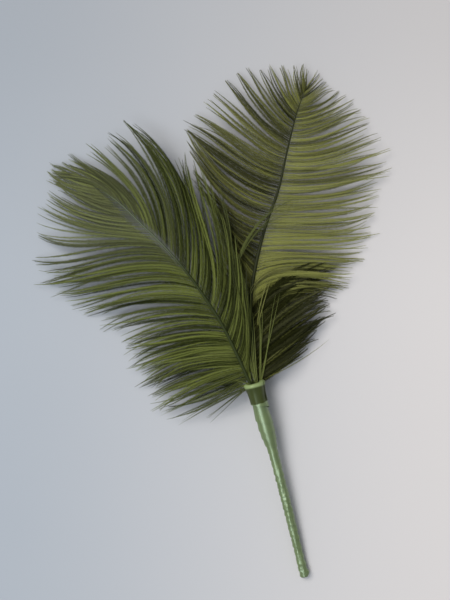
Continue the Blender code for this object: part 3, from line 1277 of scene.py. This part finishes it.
@dataclass(frozen=True)
class Studio:
    """The pale floor, the soft lights and the camera above them.

    The floor's colour is painted light: it goes from a cool, dim tone at the left
    to a warm, bright one at the right, a darker tone is mixed in beyond the
    origin as painted shade, and soft cloudy painted light and shade stand for the
    sheet's creases. Lengths are in metres. The aim is from the stem's end, and the
    camera's height is worked out so that the tall view just fits at the focus height.
    """

    floor_reach: float = 3.0
    floor_roughness: float = 0.9
    # Painted light on the floor: the cool dim left tone is painted shade and the warm bright right tone is
    # painted light.
    painted_shade_tone: Triple = (0.445, 0.488, 0.545)
    painted_light_tone: Triple = (0.835, 0.785, 0.765)
    rightward: Triple = (0.969, -0.247, 0.0)
    painted_light_reach: float = 0.16
    # A darker tone mixed in beyond the origin: painted shade.
    painted_far_shade_tone: Triple = (0.22, 0.23, 0.25)
    away: Triple = (0.247, 0.969, 0.0)
    painted_far_shade_reach: float = 0.2
    painted_far_shade_share: float = 0.3
    # Soft cloudy painted light and shade of the sheet's creases.
    crease_shade_tone: Triple = (0.70, 0.69, 0.70)
    mottle_scale: float = 9.0
    crease_shade_share: float = 0.12
    lamps: tuple[Lamp, ...] = (
        Lamp("key", (-0.85, 1.25, 2.15), 1.4, 41.5, (1.0, 0.97, 0.92)),
        Lamp("window", (-0.7, -0.35, 1.5), 0.8, 8.0, (0.88, 0.94, 1.0)))
    room_colour: tuple[float, float, float, float] = (0.86, 0.92, 1.0, 1.0)
    room_strength: float = 0.28
    lens: float = 60.0
    tall_view: float = 0.312
    aim: tuple[float, float] = (-0.0045, 0.1498)
    focus_height: float = 0.012
    roll: float = math.radians(-14.3)

    def build(self) -> None:
        """Make floor, lights and camera."""
        self.floor()
        self.lights()
        self.camera()

    def floor(self) -> None:
        """Lay a wide pale floor at the height that the spray rests on, with painted light and shade in its
        colour.
        """
        reach = self.floor_reach
        points = np.array(((-reach, -reach, 0), (reach, -reach, 0), (reach, reach, 0), (-reach, reach, 0)))
        mesh = mesh_of("floor", points, np.array(((0, 1, 2, 3),)), False)
        floor = bpy.data.objects.new("floor", mesh)
        bpy.context.scene.collection.objects.link(floor)
        made, nodes, shader = new_material("pale floor", roughness=self.floor_roughness)
        # Painted light and shade: the floor's tone grades from dim at the left to bright at the right and
        # darkens beyond the origin.
        painted_light_share = nodes.slide(nodes.along(self.rightward), -self.painted_light_reach, self.painted_light_reach)
        sheet = nodes.mix(painted_light_share, self.painted_shade_tone, self.painted_light_tone)
        painted_far_shade = nodes.slide(nodes.along(self.away), 0.0, self.painted_far_shade_reach, self.painted_far_shade_share)
        sheet = nodes.mix(painted_far_shade, sheet, self.painted_far_shade_tone)
        # Soft cloudy painted light and shade of the sheet's creases, mixed into the floor's colour.
        crease_shade = nodes.product(nodes.noise(self.mottle_scale), self.crease_shade_share)
        nodes.feed(shader.inputs["Base Color"], nodes.mix(crease_shade, sheet, self.crease_shade_tone))
        mesh.materials.append(made)

    def lights(self) -> None:
        """Hang a large soft lamp beyond the plumes and a smaller one at the left, in a pale room."""
        for lamp in self.lamps:
            light = bpy.data.lights.new(lamp.name, "AREA")
            light.energy = lamp.power
            light.size = lamp.size
            light.color = lamp.colour
            held = bpy.data.objects.new(lamp.name, light)
            held.location = lamp.place
            held.rotation_mode = "QUATERNION"
            held.rotation_quaternion = (-Vector(lamp.place)).to_track_quat("-Z", "Y")
            bpy.context.scene.collection.objects.link(held)
        world = bpy.data.worlds.new("pale room")
        world.use_nodes = True
        ground = world.node_tree.nodes["Background"]
        ground.inputs["Color"].default_value = self.room_colour
        ground.inputs["Strength"].default_value = self.room_strength
        bpy.context.scene.world = world
        bpy.context.scene.view_settings.view_transform = "Standard"

    def camera(self) -> None:
        """Look straight down, rolled so that the stem leans to the left of upright."""
        lens = bpy.data.cameras.new("camera")
        lens.lens = self.lens
        eye = bpy.data.objects.new("camera", lens)
        height = self.tall_view / 2 / math.tan(math.atan(lens.sensor_width / 2 / lens.lens))
        end = stem_end()
        eye.location = (end[0] + self.aim[0], end[1] + self.aim[1], height + self.focus_height)
        eye.rotation_euler = (0.0, 0.0, self.roll)
        bpy.context.scene.collection.objects.link(eye)
        bpy.context.scene.camera = eye


MOSS = PlumageFinish(
    "moss plumage", deep=(0.008, 0.012, 0.002), light=(0.205, 0.24, 0.055), faded=(0.34, 0.36, 0.20))
OLIVE = PlumageFinish(
    "olive plumage", deep=(0.012, 0.014, 0.002), light=(0.325, 0.335, 0.082), faded=(0.46, 0.46, 0.25))
MOSS_QUILL = ShaftFinish(
    "moss quill", deep=(0.016, 0.022, 0.004), light=(0.045, 0.06, 0.012), pale=(0.10, 0.12, 0.075),
    pale_from=0.035, pale_to=0.06)
OLIVE_QUILL = ShaftFinish(
    "olive quill", deep=(0.012, 0.014, 0.003), light=(0.030, 0.036, 0.008), pale=(0.055, 0.062, 0.016),
    pale_from=0.10, pale_to=0.13)
SAGE_SATIN = SatinFinish("sage satin", deep=(0.072, 0.108, 0.024), light=(0.140, 0.185, 0.048))
# The collar's satin is drawn darker than the wound ribbon's as painted shade on its face, with a painted
# highlight along the rolled fold.
SHADED_COLLAR_SATIN = SatinFinish(
    "folded satin", deep=(0.030, 0.038, 0.004), light=(0.052, 0.064, 0.007), roughness=0.42,
    fold=(0.29, 0.37, 0.15), gloss=0.25, highlight_from=-0.0283, highlight_to=-0.0272)
WIRE = HiddenFinish("drawn wire", (0.28, 0.29, 0.27), (0.38, 0.39, 0.37), roughness=0.4, metallic=1.0)
TAPE = HiddenFinish("waxed tape", (0.09, 0.13, 0.05), (0.14, 0.19, 0.08), roughness=0.75, metallic=0.0)


def main() -> None:
    """Make every piece in order, from the plumes to the studio."""
    logging.basicConfig(level=logging.INFO, format="%(name)s %(message)s")
    moss, olive = MOSS.material(), OLIVE.material()
    left, right = Stand("left_plume", "left_plumage"), Stand("right_plume", "right_plumage")
    for vane in LEFT_PLUME_VANES:
        vane.build(LEFT_SHAFT, left, moss)
    LEFT_STRAYS.build(left, moss)
    for vane in RIGHT_PLUME_VANES:
        vane.build(RIGHT_SHAFT, right, olive)
    RIGHT_STRAYS.build(right, olive)
    LEFT_SHAFT.build(left, MOSS_QUILL.material())
    RIGHT_SHAFT.build(right, OLIVE_QUILL.material())
    stem = Stem()
    WoundRibbon(stem).build(SAGE_SATIN.material())
    Collar(stem).build(SHADED_COLLAR_SATIN.material())
    for node, finish in (("stem_wire", WIRE), ("quill_binding", TAPE)):
        mesh = bpy.data.objects[node].data
        mesh.materials.clear()
        mesh.materials.append(finish.material())
    Studio().build()


if __name__ == "__main__":
    main()
